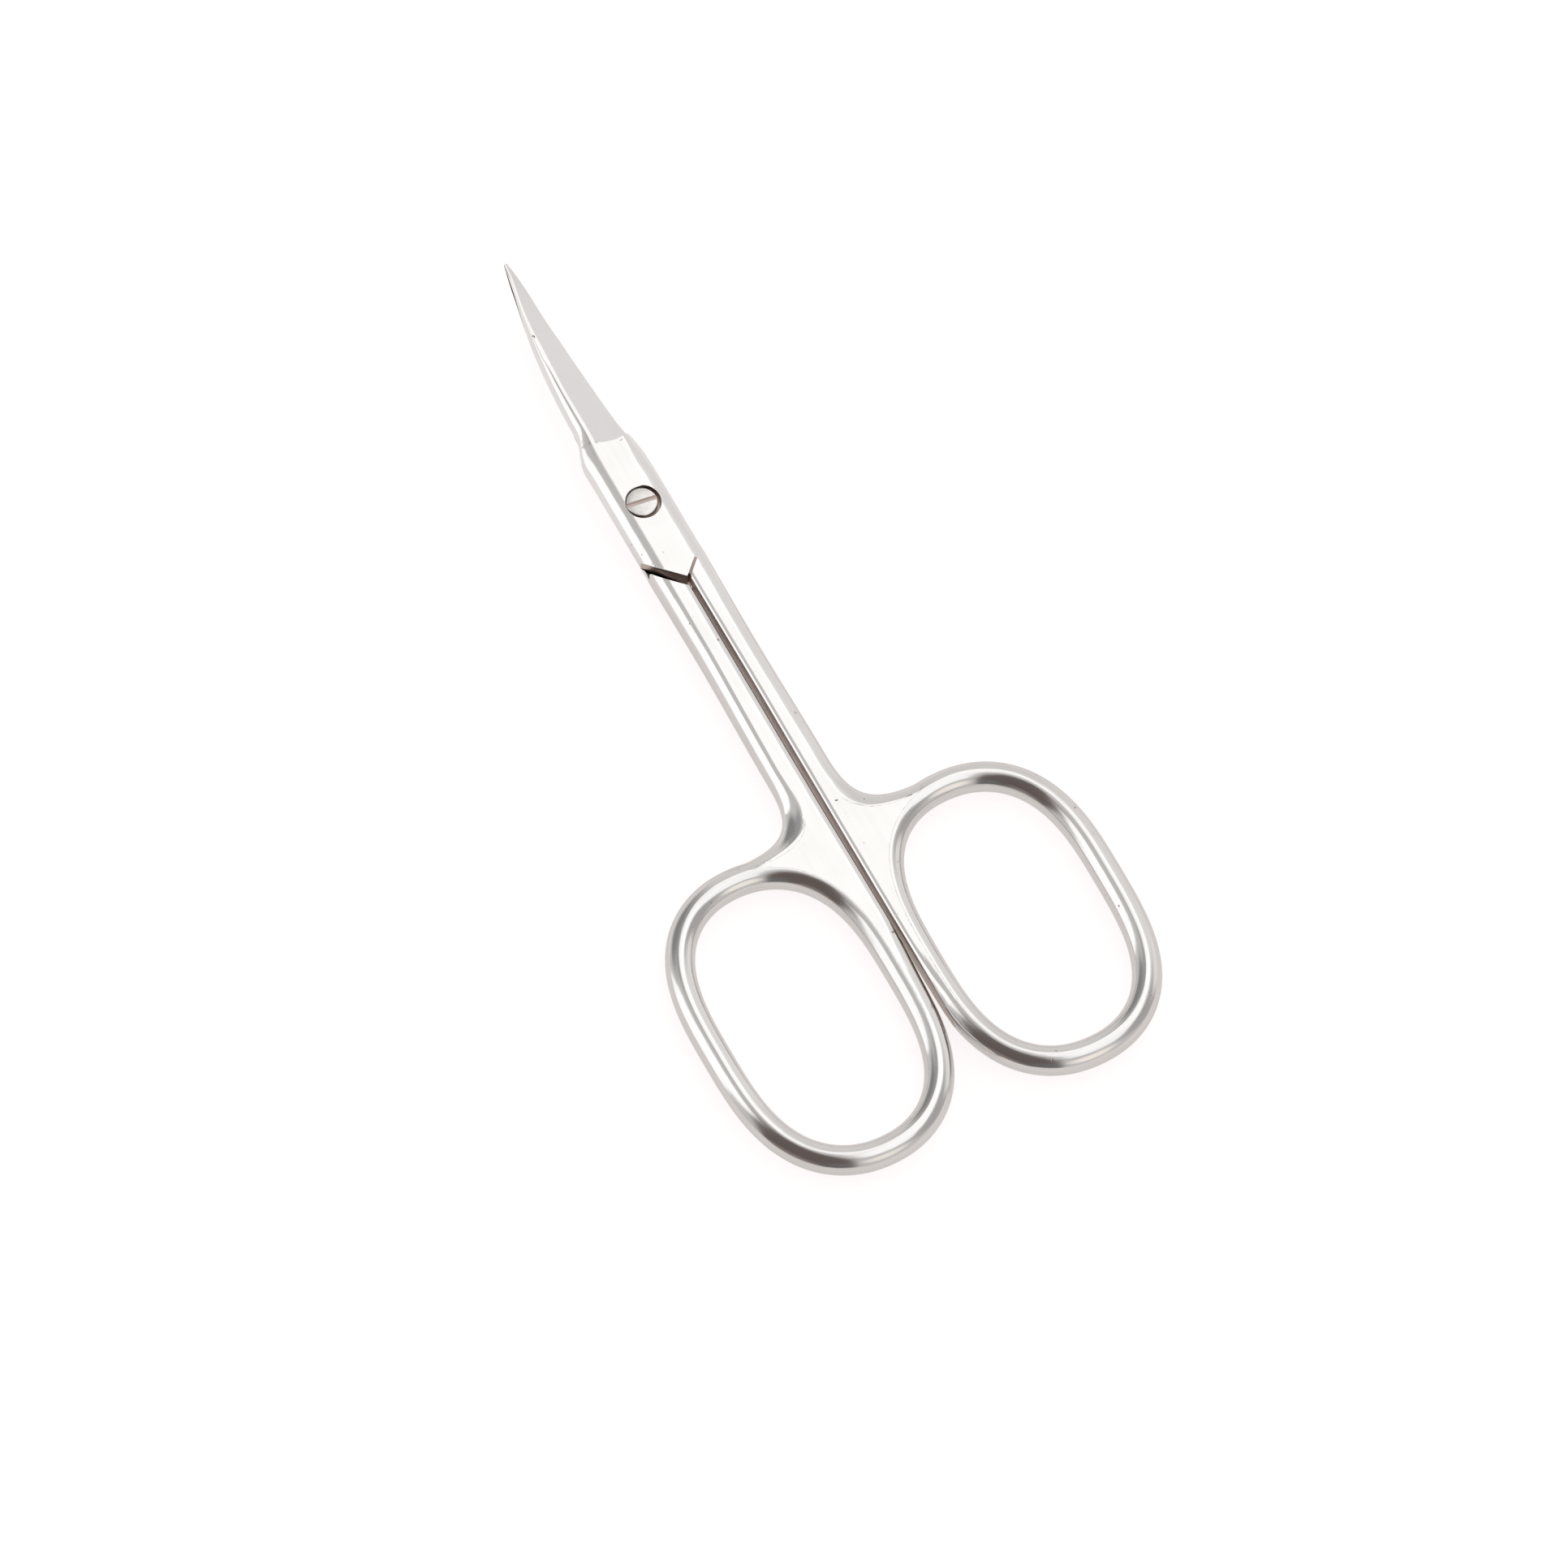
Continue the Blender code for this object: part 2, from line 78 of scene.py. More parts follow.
blade = {
    "reach": 25.4,  # the tips' y
    "rootY": 8.8,  # where pad or shoulder has narrowed to the blade, which tapers from there
    "rootHalfWidth": 1.85,
    "tipHalfWidth": 0.13,
    "taper": 1.75,  # how full the taper is
    "edgeLand": 0.12,  # height that the ground face leaves at the cutting edge
    "footY": 6.37,  # where the ground face reaches furthest back
    "footSteps": (0.02, 0.06, 0.11, 0.16, 0.21, 0.26, 0.31, 0.36, 0.42, 0.5, 0.7, 1.0, 1.4),  # rows from there
    "evenY": 8.2,  # where the evenly spaced rows start
    "bowY": (3.0, 6.4, 9.4),  # the rows bow forward between the first two, and straighten up to the last
    "bowDepth": 0.75,  # how far they bow at the sides
    "bowCurve": 0.15,
    "bowMiddle": 0.95,  # x where the bowed foot lies furthest back
    "bowEase": 0.12,
    "spineBow": 0.72,  # how far the bow carries a row forward at the spine
    "edgeBow": 0.15,  # and at the edge
    "cove": 0.45,  # length of the hollow between pad and ground face
    "noseY": (4.1, 7.0),  # the pad's flat top narrows to the blade's strip
    "stripWidth": 0.26,  # polished strip along the ridge
    "stripSwell": 0.22,  # how much wider it gets halfway
    "swellY": 17.2,
    "swellLength": 1.6,
    "stripMargin": 0.02,  # how far past the middle between spine and ridge it may reach
    "ridgeY": (6.0, 8.0, 13.0, 15.0, 17.2, 19.5, 21.7, 23.1, 24.2, 25.4),
    "ridgeX": (-0.98, -0.95, -0.92, -0.83, -0.72, -0.62, -0.44, -0.22, -0.06, -0.06),
    "ridgeTopY": (6.0, 8.0, 10.0, 12.0, 14.0, 16.0, 18.0, 20.0, 22.0, 24.0, 25.4),
    "ridgeTop": (1.80, 1.79, 1.775, 1.75, 1.72, 1.69, 1.66, 1.64, 1.66, 1.81, 2.12),  # height over the split
    "trimY": (4.0, 8.0, 10.5, 14.0, 18.0, 20.0, 22.0, 23.4, 25.4),
    "edgeTrim": (0.0, -0.08, 0.09, 0.14, 0.06, 0.04, 0.0, -0.04, -0.02),  # how far the edge is drawn in
    "spineTrim": (0.0, -0.08, -0.06, -0.05, -0.03, 0.03, 0.03, 0.03, 0.0),  # and the spine
    "flankDrop": 0.62,  # height of the rounding on the spine side
    "flankPower": 1.75,  # its fullness: 2 is an ellipse, 1 a straight slope
    "flankShare": (0.6, 0.35),  # most of the ridge's height that it takes, behind and near the tip
    "flankShareY": (17.0, 21.0),
    "flankLeast": 0.03,  # its least width
    "sideShare": 0.97,  # share of the ridge's height that the edge side's rounding takes
    "edgeRoundY": (3.6, 7.0),  # the rounding on the edge side narrows from the pad's
    "edgeRound": 0.90,  # to this at the foot
    "edgeRoundTip": 0.3,  # and then to this
    "edgeRoundLength": 4.6,
    "edgeDropY": (2.0, 6.6),  # and reaches down to the edge
    "relief": 0.06,  # slope of the blade's inner face
    "leastThickness": 0.01,
    "riseStart": 14.0,
    "rise": 2.0,  # how far the tips curve up
    "risePower": 2.2,
    "tipLean": 0.13,  # how far the closed blades' tips lean over to the right
    "leanY": (19.0, 23.0),
}
handle = {
    "frontHalfHeight": 1.6,  # the shank's at the joint
    "backHalfHeight": 1.35,  # and at the web
    "wireHalfWidth": 1.275,
    "wireHalfHeight": 1.32,
    "wireShare": 0.97,  # share of the wire's height that the web's rounding takes
    "wireMargin": 0.004,  # how far the web's top stays over the wire's where it turns into it
    "flatMargin": 0.02,  # the wire's flat side takes the darker inner-face material, painted shade, up to this far outside the wall
    "flatHalfHeight": 1.0,  # and up to this height
    "grainTravel": 18,  # half the length of the streaks' pattern round a ring
    "webTurn": (192, 100),  # the web's rows run round the ring between these angles, in degrees
    "rimTurn": (110, 100),  # and pass from inside the wire to its rim
    "rimInside": 0.6,  # how far inside the wire's middle line they end
    "rimMargin": 0.01,  # how far inside its rim
    "webRise": (0.0005, -0.002),  # the web's height over the wire's
    "webRiseTurn": (114, 106),
    "webWallY": -34.4,  # where the web's last row meets the inner wall
    "webSpread": 0.8,  # how the rows are spread along that wall: below 1, closer in front
    "webFrontY": -28.0,
    "cornerPull": 0.80,  # how roundly the corner between web and shank leaves the ring
    "cornerBack": 3.955,  # and reaches the shank
    "shankTaper": 0.20,  # how far the shank's outer side is drawn in towards the joint
    "taperY": (-29.0, -14.0),
    "wallBack": 0.015,  # how far the web's wall is drawn back beside the ring
    "wallBackY": (-38.0, -46.0),
    "wallInWireY": (-46.0, -52.0),  # and where it goes inside the wire
}
steps = {
    "web": 46, "corner": 40, "shank": 60, "lap": 3, "padEnd": 3, "pad": 50, "blade": 76,  # rows along a half
    "wall": 4, "arc": 16, "strip": 4, "flat": 22,  # points across it
    "ring": 420, "wire": 72,  # round the ring and round its wire
    "turned": 96,  # round the screw and its bore
}
polished, matte, dull = 0, 1, 2  # places of a half's materials; dull takes the darker inner-face material, whose brown is painted shade


def smoothStep(t):
    t = np.clip(t, 0.0, 1.0)
    return t * t * (3 - 2 * t)


# 0 up to start, 1 from stop on, and eased between. Start may be the larger one.
def ease(value, start, stop):
    return smoothStep((value - start) / (stop - start))


def mix(a, b, t):
    return a + (b - a) * t


# A smooth curve through (place, value) pairs: a cubic between neighbours, with the slopes of their chords.
def through(places, values, at):
    places, values = np.asarray(places, float), np.asarray(values, float)
    slopes = np.gradient(values, places)
    at = np.clip(np.asarray(at, float), places[0], places[-1])
    i = np.clip(np.searchsorted(places, at, side="right") - 1, 0, len(places) - 2)
    span = places[i + 1] - places[i]
    t = (at - places[i]) / span
    start = (2 * t**3 - 3 * t**2 + 1) * values[i] + (t**3 - 2 * t**2 + t) * span * slopes[i]
    end = (-2 * t**3 + 3 * t**2) * values[i + 1] + (t**3 - t**2) * span * slopes[i + 1]
    return start + end


# Keeps value at or above limit, with the corner eased over width to both sides.
def softLimit(value, limit, width):
    over = value - limit
    eased = (over + width) ** 2 / (4 * width)
    return limit + np.where(over > width, over, np.where(over < -width, 0.0, eased))


# A grid of points as quads: rows along, columns around, with one face over each end if capped.
def gridFaces(rowCount, columnCount, closedRows, capped):
    row = np.arange(rowCount if closedRows else rowCount - 1)[:, None]
    column = np.arange(columnCount)[None, :]
    nextRow, nextColumn = (row + 1) % rowCount, (column + 1) % columnCount
    corners = [row * columnCount + column, row * columnCount + nextColumn]
    corners += [nextRow * columnCount + nextColumn, nextRow * columnCount + column]
    quads = np.stack([np.broadcast_to(c, (len(row), columnCount)) for c in corners], axis=-1)
    quads = quads.reshape(-1, 4).tolist()
    if capped:
        first = list(range(columnCount))
        last = [(rowCount - 1) * columnCount + c for c in first]
        quads += [first[::-1], last]
    return quads


# The same without the quads that join the last column to the first.
def openFaces(rowCount, columnCount, closedRows):
    faces = gridFaces(rowCount, columnCount, closedRows, False)
    return [face for i, face in enumerate(faces) if i % columnCount != columnCount - 1]


# Object millimetres to the frame's metres.
def toFrame(x, y, h):
    return np.stack([x * mm, y * mm + pivotY, h * mm + splitHeight], axis=-1)


# Metres to millimetres across, up and along.
def fromFrame(points):
    return (points - [0, pivotY, splitHeight])[:, [0, 2, 1]] / mm


# Where the polishing streaks run: an attribute with the place across, up and along, in millimetres.
def layGrain(mesh, grain):
    if "grain" not in mesh.attributes:
        mesh.attributes.new("grain", "FLOAT_VECTOR", "POINT")
    mesh.attributes["grain"].data.foreach_set("vector", grain.astype(np.float32).ravel())


def meshObject(name, points, faces, materials, faceMaterials=None, sharpDegrees=24, grain=None):
    mesh = bpy.data.meshes.new(name)
    mesh.from_pydata(points.reshape(-1, 3).tolist(), [], faces)
    layGrain(mesh, fromFrame(points.reshape(-1, 3)) if grain is None else grain.reshape(-1, 3))
    for material in materials:
        mesh.materials.append(material)
    if faceMaterials is not None:
        mesh.polygons.foreach_set("material_index", np.asarray(faceMaterials, np.int32))
    weld = bmesh.new()
    weld.from_mesh(mesh)
    bmesh.ops.remove_doubles(weld, verts=weld.verts, dist=1e-7)
    bmesh.ops.recalc_face_normals(weld, faces=weld.faces)
    weld.to_mesh(mesh)
    weld.free()
    mesh.polygons.foreach_set("use_smooth", np.ones(len(mesh.polygons), bool))
    mesh.validate()
    mesh.set_sharp_from_angle(angle=math.radians(sharpDegrees))
    made = bpy.data.objects.new(name, mesh)
    bpy.context.scene.collection.objects.link(made)
    return made


# Wraps a socket, so that shader maths is written as an expression on Shades and numbers.
class Shade:
    def __init__(self, tree, socket=None):
        self.tree, self.socket = tree, socket

    def node(self, kind, settings=None, inputs=None, output=0):
        made = self.tree.nodes.new("ShaderNode" + kind)
        for key, value in (settings or {}).items():
            setattr(made, key, value)
        for key, value in (inputs or {}).items():
            if isinstance(value, Shade):
                self.tree.links.new(value.socket, made.inputs[key])
            else:
                made.inputs[key].default_value = value
        return Shade(self.tree, made.outputs[output] if made.outputs else None)

    def calc(self, operation, *values):
        return self.node("Math", {"operation": operation}, dict(enumerate(values)))

    def __add__(self, other):
        return self.calc("ADD", self, other)

    def __sub__(self, other):
        return self.calc("SUBTRACT", self, other)

    def __rsub__(self, other):
        return self.calc("SUBTRACT", other, self)

    def __mul__(self, other):
        return self.calc("MULTIPLY", self, other)

    __radd__ = __add__
    __rmul__ = __mul__

    def between(self, low, high):
        return self.node("MapRange", {"interpolation_type": "SMOOTHSTEP"}, {0: self, 1: low, 2: high})


# First where factor is 0, second where it is 1. Colours are three numbers or a Shade.
def blendColours(shade, factor, first, second):
    first, second = [c if isinstance(c, Shade) else (*c, 1.0) for c in (first, second)]
    return shade.node("Mix", {"data_type": "RGBA"}, {0: factor, 6: first, 7: second}, 2)


def noise(place, scale, detail, **more):
    return place.node("TexNoise", None, {"Vector": place, "Scale": scale, "Detail": detail, **more})


def feed(shader, name, shade):
    shade.tree.links.new(shade.socket, shader.inputs[name])


# Bends the surface by a height in units of distance, which is in metres.
def feedBump(shader, height, distance):
    bump = height.node("Bump", None, {"Height": height, "Strength": 1.0, "Distance": distance})
    feed(shader, "Normal", bump)


# A material with its metal shader ready: returns the material, the shader node and a Shade of the place.
def newMetal(name, metallic=1.0):
    material = bpy.data.materials.new(name)
    material.use_nodes = True
    shader = material.node_tree.nodes["Principled BSDF"]
    shader.inputs["Metallic"].default_value = metallic
    return material, shader, Shade(material.node_tree).node("TexCoord", output=3)


def emptyMaterial(name):
    material = bpy.data.materials.new(name)
    material.use_nodes = True
    material.node_tree.nodes.clear()
    return material, Shade(material.node_tree)


# Polished nickel plate: slow waves and lengthwise streaks from buffing, small pits, and a faint
# change of tone. The streaks follow the piece's own grain.
def polishedNickel(name, streak):
    look = {"colour": (0.84, 0.835, 0.83), "dull": (0.79, 0.785, 0.78), "pit": (0.30, 0.27, 0.26),
            "waveScale": 380.0, "streakScale": (2.6, 2.6, 0.09), "patchScale": 260.0, "pitScale": 1900.0}
    material, shader, place = newMetal(name)
    grain = place.node("Attribute", {"attribute_name": "grain"}, None, 1)
    streakPlace = place.node("Mapping", None, {"Vector": grain, "Scale": look["streakScale"]})
    waves = noise(place, look["waveScale"], 1.0)
    streaks = noise(streakPlace, 1.0, 2.0, Roughness=0.55)
    patches = noise(place, look["patchScale"], 3.0)
    pits = noise(place, look["pitScale"], 2.0).between(0.70, 0.76) * patches.between(0.52, 0.60)
    worn = patches.between(0.35, 0.75) * 0.4 + streaks.between(0.40, 0.72) * streak
    tone = blendColours(place, worn, look["colour"], look["dull"])
    feed(shader, "Base Color", blendColours(place, pits, tone, look["pit"]))
    feed(shader, "Roughness", 0.08 + 0.05 * patches + 0.09 * streak * streaks + 0.2 * pits)
    feedBump(shader, 0.024 * waves + 0.014 * streak * streaks - 0.004 * pits, 0.001)
    return material


# Matte ground blade face: grinding lines across the blade.
def groundSteel(name):
    look = {"light": (0.93, 0.93, 0.935), "dark": (0.88, 0.88, 0.89), "metallic": 0.75,
            "lineTurn": 0.12, "lineScale": (400.0, 9000.0, 400.0), "cloudScale": 300.0}
    material, shader, place = newMetal(name, look["metallic"])
    turned = {"Vector": place, "Rotation": (0, 0, look["lineTurn"]), "Scale": look["lineScale"]}
    lines = noise(place.node("Mapping", None, turned), 1.0, 2.0)
    clouds = noise(place, look["cloudScale"], 2.0)
    feed(shader, "Base Color", blendColours(place, clouds, look["light"], look["dark"]))
    feed(shader, "Roughness", 0.42 + 0.1 * lines)
    feedBump(shader, 0.001 * lines, 0.002)
    return material


# Faces that the buffing wheel doesn't reach: rougher, and mottled between a darker and a lighter tone. On the
# halves these tones are painted shade of the gap, the notch and the bore.
def recessSteel(name, look):
    material, shader, place = newMetal(name)
    mottle = noise(place, 700.0, 3.0)
    feed(shader, "Base Color", blendColours(place, mottle, look["darkTone"], look["lightTone"]))
    feed(shader, "Roughness", look["rough"] + 0.25 * mottle)
    return material


# Screw head: turned steel with short uneven marks.
def turnedSteel(name):
    look = {"light": (0.90, 0.89, 0.87), "dark": (0.70, 0.69, 0.68), "markScale": 2600.0, "patchScale": 900.0}
    material, shader, place = newMetal(name)
    marks = noise(place, look["markScale"], 3.0)
    patches = noise(place, look["patchScale"], 1.0)
    feed(shader, "Base Color", blendColours(place, marks, look["light"], look["dark"]))
    feed(shader, "Roughness", 0.12 + 0.25 * patches)
    feedBump(shader, 0.002 * marks, 0.002)
    return material


nickel = polishedNickel("polished nickel", 0.28)
wireNickel = polishedNickel("polished ring nickel", 1.0)
ground = groundSteel("ground blade face")
# the inner faces' dark browns are painted shade of the gap between the halves, the notch and the bore
innerLook = {"darkTone": (0.44, 0.35, 0.31), "lightTone": (0.70, 0.61, 0.56), "rough": 0.2}
innerShadeSteel = recessSteel("inner faces with painted shade", innerLook)
screwSteel = turnedSteel("turned screw steel")
slotLook = {"darkTone": (0.78, 0.69, 0.65), "lightTone": (0.90, 0.83, 0.80), "rough": 0.5}
slotSteel = recessSteel("screw slot", slotLook)
print("materials made")


# Middle line of a finger ring: an oval whose long sides are straighter than an ellipse's,
# x = a * |cos|^(2/m), y = b * |sin|^(2/n), with the signs of cos and sin.
def ringLine(ring, angle):
    c, s = np.cos(angle), np.sin(angle)
    x = ring["halfWidth"] * np.sign(c) * np.abs(c) ** (2 / ring["endPower"])
    y = ring["halfLength"] * np.sign(s) * np.abs(s) ** (2 / ring["sidePower"])
    return np.stack([ring["x"] + x, ring["y"] + y], axis=-1)


# Points evenly spaced along the closed line, and the outward normals there.
def evenRing(ring, count):
    fine = ringLine(ring, np.linspace(0, 2 * np.pi, 4001))
    length = np.concatenate([[0], np.cumsum(np.hypot(*np.diff(fine, axis=0).T))])
    wanted = np.linspace(0, length[-1], count, endpoint=False)
    line = np.stack([np.interp(wanted, length, fine[:, i]) for i in (0, 1)], axis=-1)
    along = np.roll(line, -1, axis=0) - np.roll(line, 1, axis=0)
    along /= np.linalg.norm(along, axis=1)[:, None]
    return line, np.stack([along[:, 1], -along[:, 0]], axis=-1)


# The flat faces on both sides of the gap between shanks and rings: x of the wall at y.
def innerWall(half, y):
    return through(half["wallY"], half["wallX"], y)


# The ring's wire: an ellipse carried round the middle line, its side towards the other ring
# ground flat with an eased edge.
def ringTube(half):
    line, outward = evenRing(half["ring"], steps["ring"])
    turn = np.linspace(0, 2 * np.pi, steps["wire"], endpoint=False)[None, :]
    across = handle["wireHalfWidth"] * np.cos(turn)
    x = line[:, :1] + outward[:, :1] * across
    y = line[:, 1:] + outward[:, 1:] * across
    h = handle["wireHalfHeight"] * np.sin(turn) + 0 * x
    wall = innerWall(half, y)
    flat = softLimit(x, wall, half["wallEase"])
    faces = gridFaces(len(line), turn.size, True, False)
    inGap = ((x < wall + handle["flatMargin"]) & (np.abs(h) < handle["flatHalfHeight"])).ravel()
    # the flat side in the gap takes the darker inner-face material: painted shade
    marks = np.where(inGap[np.array(faces)].all(axis=1), dull, polished)
    travel = np.cos(np.linspace(0, 2 * np.pi, len(line), endpoint=False))[:, None] * handle["grainTravel"]
    grain = np.stack([across + 0 * x, h, travel + 0 * x], axis=-1)
    return toFrame(half["side"] * flat, y, half["side"] * h), faces, marks, grain


# Half the width of pad and blade at y, for one side: pad's half width, and where it starts to narrow.
def halfWidth(y, pad, front):
    root, tip = blade["rootHalfWidth"], blade["tipHalfWidth"]
    share = np.clip((y - blade["rootY"]) / (blade["reach"] - blade["rootY"]), 0, 1)
    tapered = tip + (root - tip) * (1 - share ** blade["taper"])
    return np.where(y < blade["rootY"], mix(pad, root, ease(y, front, blade["rootY"])), tapered)


def spineWidth(y):
    trim = through(blade["trimY"], blade["spineTrim"], y)
    return halfWidth(y, joint["padHalfWidth"], joint["padFrontY"]) - trim


def edgeWidth(y):
    trim = through(blade["trimY"], blade["edgeTrim"], y)
    return halfWidth(y, joint["padEdgeWidth"], joint["padEdgeFrontY"]) - trim


def tipRise(y):
    share = np.clip((y - blade["riseStart"]) / (blade["reach"] - blade["riseStart"]), 0, 1)
    return blade["rise"] * share ** blade["risePower"]


# How far forward the foot of the ground face lies at x, from where it lies furthest back.
def footBow(x):
    left = blade["bowDepth"] - blade["bowCurve"] * (x - blade["bowMiddle"]) ** 2
    return blade["bowDepth"] - softLimit(left, 0.0, blade["bowEase"])


# The ridge between strip and ground face at y, its height, and the ground face's slope across the blade.
def groundEdge(y, rightWidth):
    ridge = through(blade["ridgeY"], blade["ridgeX"], y)
    height = through(blade["ridgeTopY"], blade["ridgeTop"], y) - tipRise(y)
    return (height - blade["edgeLand"]) / (rightWidth - ridge), ridge, height


# Rows of sections along a half, one number per row for each name. A row runs from (leftX, leftY) to
# (rightX, rightY), with a rounding of a width and a drop at both ends, the right one inward along
# (towardX, towardY). Below it is the same if full, or else flat. Seen from above, vee slants it and bow
# bows it. grind cuts it down to slope from the ridge to the edge, and hollow eases that cut at the foot.
def rows(**values):
    names = ("vee", "full", "grind", "bow", "slope", "hollow", "towardY")
    made = {**dict.fromkeys(names, 0.0), "leftPower": 2.0, "towardX": -1.0, "ridge": -9.0, **values}
    shape = np.shape(values["leftY"])
    return {key: np.broadcast_to(np.asarray(value, float), shape) for key, value in made.items()}


# Web: from inside the ring's inner side forward to the shank. Returns where its last row ends too.
def webRows(half):
    angle = np.linspace(*handle["webTurn"], steps["web"])
    turn = np.radians(angle)
    line = ringLine(half["ring"], turn)
    step = ringLine(half["ring"], turn + 1e-3) - ringLine(half["ring"], turn - 1e-3)
    outward = np.stack([step[:, 1], -step[:, 0]], axis=-1) / np.linalg.norm(step, axis=1)[:, None]
    rim = handle["wireHalfWidth"] - handle["rimMargin"]
    reach = mix(-handle["rimInside"], rim, ease(angle, *handle["rimTurn"]))
    edge = line + outward * reach[:, None]
    leftY = mix(line[0, 1], handle["webWallY"], np.linspace(0, 1, steps["web"]) ** handle["webSpread"])
    made = rows(
        leftX=innerWall(half, leftY), leftY=leftY, leftRound=half["innerRound"], leftDrop=half["innerDrop"],
        rightX=edge[:, 0], rightY=edge[:, 1], rightRound=np.abs(reach),
        rightDrop=handle["wireHalfHeight"] * handle["wireShare"],
        towardX=-outward[:, 0] * np.sign(reach), towardY=-outward[:, 1] * np.sign(reach), full=1.0,
        height=handle["wireHalfHeight"] + mix(*handle["webRise"], ease(angle, *handle["webRiseTurn"])),
    )
    return made, edge[-1]


# The corner between web and shank: a cubic curve from the ring's front to the shank's side.
def cornerRows(half, start):
    t = np.linspace(0, 1, steps["corner"] + 1)[1:]
    end = np.array([half["outer"], handle["webFrontY"]])
    pulls = [start - [(start[0] - end[0]) * handle["cornerPull"], 0], end - [0, handle["cornerBack"]]]
    weights = [(1 - t) ** 3, 3 * t * (1 - t) ** 2, 3 * t * t * (1 - t), t**3]
    curve = sum(w[:, None] * p for w, p in zip(weights, (start, *pulls, end)))
    slope = np.gradient(curve, axis=0)
    slope /= np.linalg.norm(slope, axis=1)[:, None]
    leftY = mix(handle["webWallY"], handle["webFrontY"], t)
    soft = half["cornerSoft"] * np.sin(np.pi * t) ** 2
    return rows(
        leftX=innerWall(half, leftY), leftY=leftY, leftRound=half["innerRound"], leftDrop=half["innerDrop"],
        rightX=curve[:, 0], rightY=curve[:, 1], towardX=-slope[:, 1], towardY=slope[:, 0], full=1.0,
        rightRound=mix(handle["wireHalfWidth"], half["outerRound"], t) + soft,
        rightDrop=mix(handle["wireHalfHeight"] * handle["wireShare"], half["outerDrop"], t),
        height=mix(handle["wireHalfHeight"] + handle["webRise"][1], handle["backHalfHeight"], smoothStep(t)),
    )


slantY = joint["padBackY"] - joint["padHalfWidth"]  # where the slanted end's lines meet in the middle


# Shank, its last rows turning to the slanted line of the joint, and the short lap up to the pad's end.
def shankRows(half):
    back, shoulderY = handle["webFrontY"], slantY - joint["notchGapLow"] * math.sqrt(2)
    turned = slantY - joint["turnLead"]
    shankY = np.linspace(back, shoulderY, steps["shank"] + 1)[1:]
    y = np.concatenate([shankY, np.linspace(shoulderY, slantY - joint["creaseWidth"], steps["lap"])])
    onShank = np.arange(len(y)) < len(shankY)
    tilt = np.where(onShank, ease(y, turned - joint["turnLength"], turned), 1.0)
    share = np.minimum((y - back) / (shoulderY - back), 1.0)
    return rows(
        leftX=innerWall(half, y), leftY=y, leftRound=half["innerRound"], leftDrop=half["innerDrop"],
        rightX=half["outer"] - handle["shankTaper"] * ease(y, *handle["taperY"]), rightY=y,
        rightRound=half["outerRound"], rightDrop=mix(half["outerDrop"], joint["shankDrop"], tilt**2),
        height=mix(handle["backHalfHeight"], handle["frontHalfHeight"], share), full=onShank, vee=tilt,
    )


# Pad and blade: from the slanted end, whose rows come several times to make its wall, to the tip.
def frontRows():
    foot, drop = blade["footY"], joint["padDrop"]
    padY = slantY + np.linspace(0.02, 1, steps["pad"]) * (foot - slantY)
    y = np.concatenate([
        [slantY] * steps["padEnd"], padY,
        foot + np.array(blade["footSteps"]), np.linspace(blade["evenY"], blade["reach"], steps["blade"]),
    ])
    onBlade = np.arange(len(y)) >= steps["padEnd"] + steps["pad"]
    bowStart, bowFull, bowEnd = blade["bowY"]
    bow = np.where(onBlade, 1 - ease(y, bowFull, bowEnd), ease(y, bowStart, bowFull))
    width, rightWidth = spineWidth(y + bow * blade["spineBow"]), edgeWidth(y + bow * blade["edgeBow"])
    slope, ridge, ridgeHeight = groundEdge(y, rightWidth)

    # the flat top ends at the strip's outer side, the strip widening halfway as exp(-t^2)
    nose = ease(y, *blade["noseY"])
    swell = blade["stripSwell"] * np.exp(-(((y - blade["swellY"]) / blade["swellLength"]) ** 2))
    strip = np.minimum(blade["stripWidth"] + swell, 0.5 * (width + ridge) + blade["stripMargin"])
    flatEnd = mix(joint["padHalfWidth"] - joint["padRound"], strip - ridge, nose)
    most = mix(*blade["flankShare"], ease(y, *blade["flankShareY"])) * ridgeHeight

    # the rounding on the edge side: on the pad, and on the blade, where it takes half the width at most
    padRound = mix(joint["padEdgeRound"], blade["edgeRound"], ease(y, *blade["edgeRoundY"]))
    padSideDrop = mix(drop, joint["layer"] - blade["edgeLand"], ease(y, *blade["edgeDropY"]))
    narrowing = ease(y, foot, foot + blade["edgeRoundLength"])
    edgeRound = np.minimum(mix(blade["edgeRound"], blade["edgeRoundTip"], narrowing), width * 0.5)
    return rows(
        leftX=-width, leftY=y, leftRound=np.maximum(width - flatEnd, blade["flankLeast"]),
        leftDrop=np.minimum(mix(drop, blade["flankDrop"], nose), most),
        leftPower=mix(2.0, blade["flankPower"], nose),
        rightX=rightWidth, rightY=y, rightRound=np.where(onBlade, edgeRound, padRound),
        rightDrop=np.where(onBlade, blade["sideShare"] * ridgeHeight, padSideDrop),
        height=np.where(onBlade, ridgeHeight, joint["layer"]),
        vee=1 - ease(y, slantY, slantY + joint["turnLength"]), bow=bow, ridge=ridge, slope=slope, grind=onBlade,
        hollow=np.where(onBlade, (1 - np.clip((y - foot) / blade["cove"], 0, 1)) ** 2, 0),
    )


